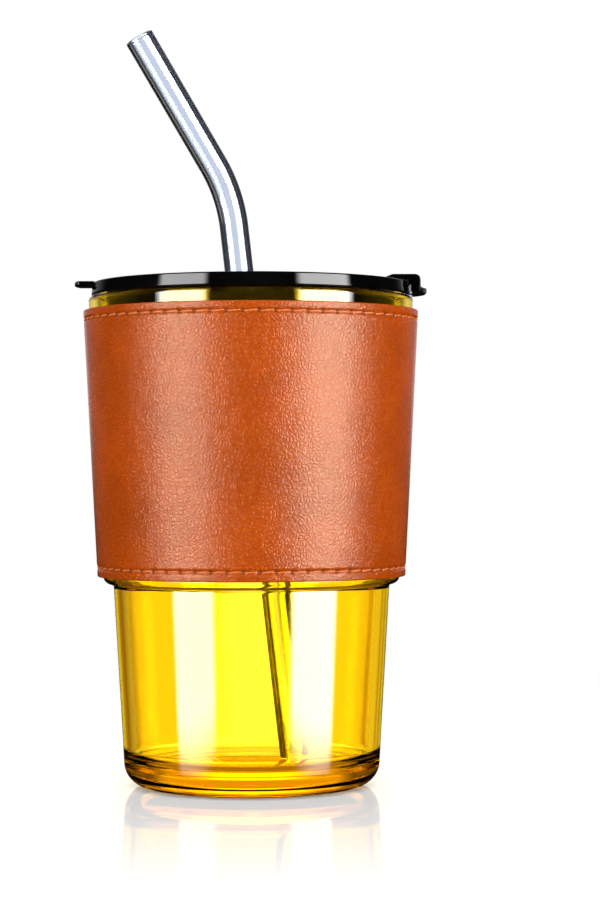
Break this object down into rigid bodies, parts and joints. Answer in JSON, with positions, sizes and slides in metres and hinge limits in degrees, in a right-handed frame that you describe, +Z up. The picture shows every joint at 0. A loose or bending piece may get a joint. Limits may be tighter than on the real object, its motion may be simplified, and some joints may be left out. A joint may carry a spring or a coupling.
{
  "type": "glass coffee cup",
  "caption": "Amber glass coffee cup with a stepped wall, a stitched leather sleeve, a press-in lid with a flip cap over its drinking slot, and a bent glass straw.",
  "frame": {"origin": "under the centre of the foot, on the surface that the cup stands on", "axes": "+Z up along the cup's axis, +X towards the flip cap's finger lip, -Y towards the viewer of the picture"},
  "size_m": [0.0978, 0.0936, 0.2072],
  "materials": {
    "amber_glass": "polished, amber tint",
    "tan_leather": "pebble grain, satin",
    "lining_cloth": "matte backing",
    "orange_thread": "twisted sewing thread",
    "black_plastic": "gloss moulded",
    "black_silicone": "matte silicone",
    "pin_steel": "drawn wire",
    "clear_glass": "polished, clear"
  },
  "bodies": {
    "cup": {"glass_cup": "amber_glass"},
    "sleeve": {"sleeve_leather": "tan_leather", "sleeve_lining": "lining_cloth", "sleeve_top_stitching": "orange_thread", "sleeve_bottom_stitching": "orange_thread", "sleeve_seam_stitching_left": "orange_thread", "sleeve_seam_stitching_right": "orange_thread"},
    "lid": {"lid_body": "black_plastic", "lid_gasket": "black_silicone", "hinge_pin": "pin_steel"},
    "cap": {"flip_cap": "black_plastic", "flip_cap_stopper": "black_silicone"},
    "straw_seal": {"straw_grommet": "black_silicone"},
    "straw": {"straw": "clear_glass"}
  },
  "joints": [
    {"name": "sleeve_slide", "type": "slide", "parent": "cup", "child": "sleeve", "axis": [0, 0, -1], "range_m": [0, 0.055]},
    {"name": "lid_lift", "type": "slide", "parent": "cup", "child": "lid", "axis": [0, 0, 1], "range_m": [0, 0.15]},
    {"name": "cap_hinge", "type": "hinge", "parent": "lid", "child": "cap", "pos_m": [0.016, 0, 0.1385], "axis": [0, -1, 0], "range_deg": [0, 90]},
    {"name": "straw_turn", "type": "hinge", "parent": "lid", "child": "straw_seal", "pos_m": [-0.0025, 0, 0.1356], "axis": [0, 0, 1], "continuous": true},
    {"name": "straw_pull", "type": "slide", "parent": "straw_seal", "child": "straw", "axis": [-0.1115, 0, 0.9938], "range_m": [0, 0.14]}
  ]
}
